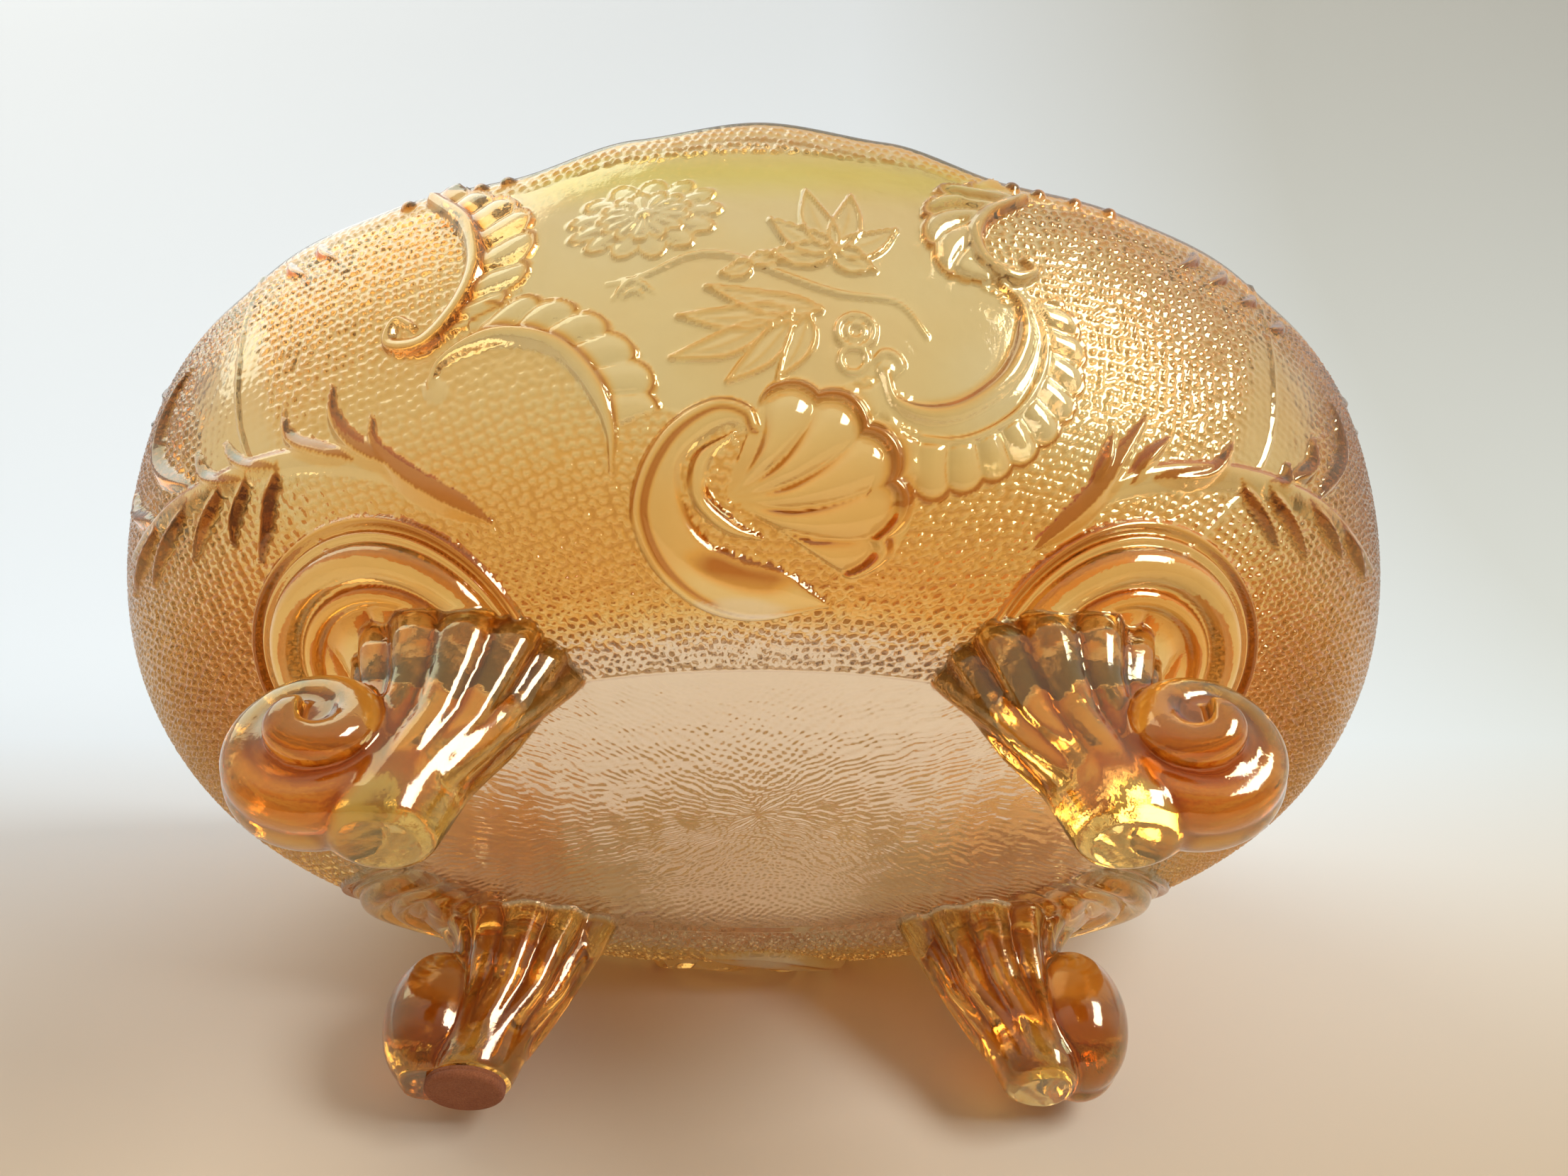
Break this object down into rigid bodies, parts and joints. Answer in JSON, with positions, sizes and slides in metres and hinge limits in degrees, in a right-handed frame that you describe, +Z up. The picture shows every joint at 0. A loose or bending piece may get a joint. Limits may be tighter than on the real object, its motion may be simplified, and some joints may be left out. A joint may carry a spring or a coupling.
{
  "type": "footed glass bowl",
  "caption": "Oval amber carnival glass bowl with a scalloped rim, moulded scroll and shell relief, fluted scroll feet and a felt pad.",
  "frame": {"origin": "on the table under the centre of the bowl, at the bottom centre of its box", "axes": "+Z up, +X along the bowl's length, -Y towards the front panel with the shell; left and right are -X and +X"},
  "size_m": [0.286, 0.209, 0.1242],
  "materials": {
    "carnival_glass": "clear honey amber pressed glass with a glossy iridescent marigold film, stippled and moulded outside, smooth inside",
    "felt": "dense brown felt"
  },
  "bodies": {
    "root": {"bowl": "carnival_glass", "foot_front_left": "carnival_glass", "foot_front_right": "carnival_glass", "foot_rear_left": "carnival_glass", "foot_rear_right": "carnival_glass", "felt_pad": "felt"}
  },
  "joints": []
}
